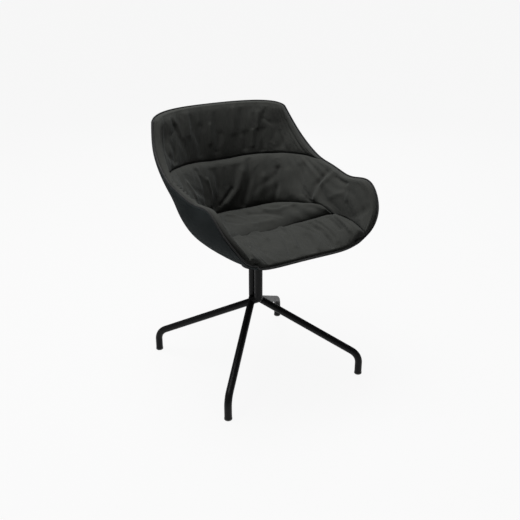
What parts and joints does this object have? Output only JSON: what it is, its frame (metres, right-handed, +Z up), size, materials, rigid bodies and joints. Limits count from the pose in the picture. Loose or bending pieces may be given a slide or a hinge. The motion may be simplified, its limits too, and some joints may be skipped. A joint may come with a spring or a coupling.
{
  "type": "pedestal swivel armchair",
  "caption": "Padded bucket armchair with low arms, turning on a steel column over a spread of bent tube legs with plastic glides.",
  "frame": {"origin": "on the floor under the swivel axis, midway between the four feet", "axes": "+Z up along the swivel axis, -Y the way the sitter faces, +X to the sitter's left hand"},
  "size_m": [0.5294, 0.5627, 0.7888],
  "materials": {
    "frame_steel": "satin black powder coat",
    "bright_steel": "zinc plated",
    "glide_plastic": "moulded black plastic",
    "bush_plastic": "natural acetal",
    "spacer_rubber": "moulded black rubber",
    "insert_brass": "turned brass",
    "shell_plastic": "moulded black plastic",
    "cover_fabric": "matt dark anthracite cloth",
    "piping_fabric": "black welt cord",
    "pad_fabric": "matt dark anthracite cloth with a soft nap"
  },
  "bodies": {
    "floor_frame": {"front_post": "frame_steel", "rear_post": "frame_steel", "rear_leg_left": "frame_steel", "rear_leg_right": "frame_steel", "front_leg_left": "frame_steel", "front_leg_right": "frame_steel", "hub_bridge": "frame_steel", "post_plate": "frame_steel", "floor_glides": "glide_plastic", "bearing_housing": "frame_steel", "upper_bush": "bush_plastic", "lower_bush": "bush_plastic"},
    "seat": {"spindle": "bright_steel", "thrust_washer": "bright_steel", "retaining_washer": "bright_steel", "circlip": "bright_steel", "seat_plate": "frame_steel", "seat_screws": "bright_steel", "mount_spacers": "spacer_rubber", "shell_inserts": "insert_brass", "seat_shell": "shell_plastic", "outer_cover": "cover_fabric", "rim_piping": "piping_fabric", "front_seat_pad": "pad_fabric", "rear_seat_pad": "pad_fabric", "lumbar_pad": "pad_fabric", "left_arm_pad": "pad_fabric", "right_arm_pad": "pad_fabric", "upper_back_pad": "pad_fabric"}
  },
  "joints": [
    {"name": "swivel", "type": "hinge", "parent": "floor_frame", "child": "seat", "pos_m": [0, 0, 0.375], "axis": [0, 0, 1], "continuous": true}
  ]
}
